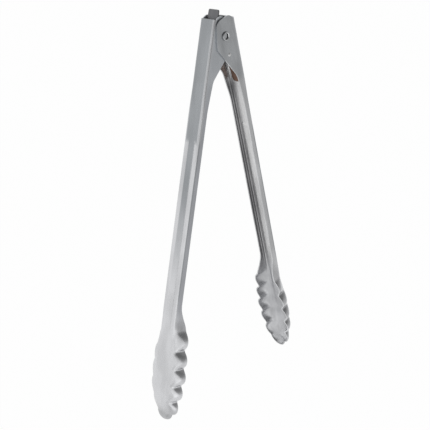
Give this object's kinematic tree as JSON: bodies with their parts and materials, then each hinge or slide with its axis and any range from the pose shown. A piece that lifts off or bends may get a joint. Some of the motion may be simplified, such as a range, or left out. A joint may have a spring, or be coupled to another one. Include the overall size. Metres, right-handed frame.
{
  "type": "kitchen tongs",
  "caption": "Spring loaded kitchen tongs: two ribbed stainless channel handles on a hollow rivet, scalloped scoops, a hairpin leaf spring and a slide lock with a tab.",
  "frame": {"origin": "middle of the pivot rivet's bore", "axes": "+Z along the pivot axis, +X from the pivot towards the scoops, the right (outer) handle on the +Y side; the tongs lie on their side, open"},
  "size_m": [0.3143, 0.1502, 0.035],
  "materials": {
    "handle_steel": "satin stainless sheet",
    "rivet_steel": "bright rolled tube",
    "spacer_steel": "turned tube",
    "spring_steel": "tempered spring strip with a brown tint",
    "lock_steel": "satin stainless sheet, darker"
  },
  "bodies": {
    "inner_handle": {"left_arm": "handle_steel", "pivot_rivet": "rivet_steel", "spacer_tube": "spacer_steel", "leaf_spring": "spring_steel"},
    "outer_handle": {"right_arm": "handle_steel"},
    "lock": {"lock_slide": "lock_steel"}
  },
  "joints": [
    {"name": "handle_pivot", "type": "hinge", "parent": "inner_handle", "child": "outer_handle", "pos_m": [0, 0, 0], "axis": [0, 0, -1], "range_deg": [0, 26.4], "stiffness_Nm_per_rad": 0.6, "springref_deg": -5.73, "deforming": ["leaf_spring"]},
    {"name": "lock_push", "type": "slide", "parent": "inner_handle", "child": "lock", "axis": [0.9736, -0.2284, 0], "range_m": [0, 0.006]}
  ]
}
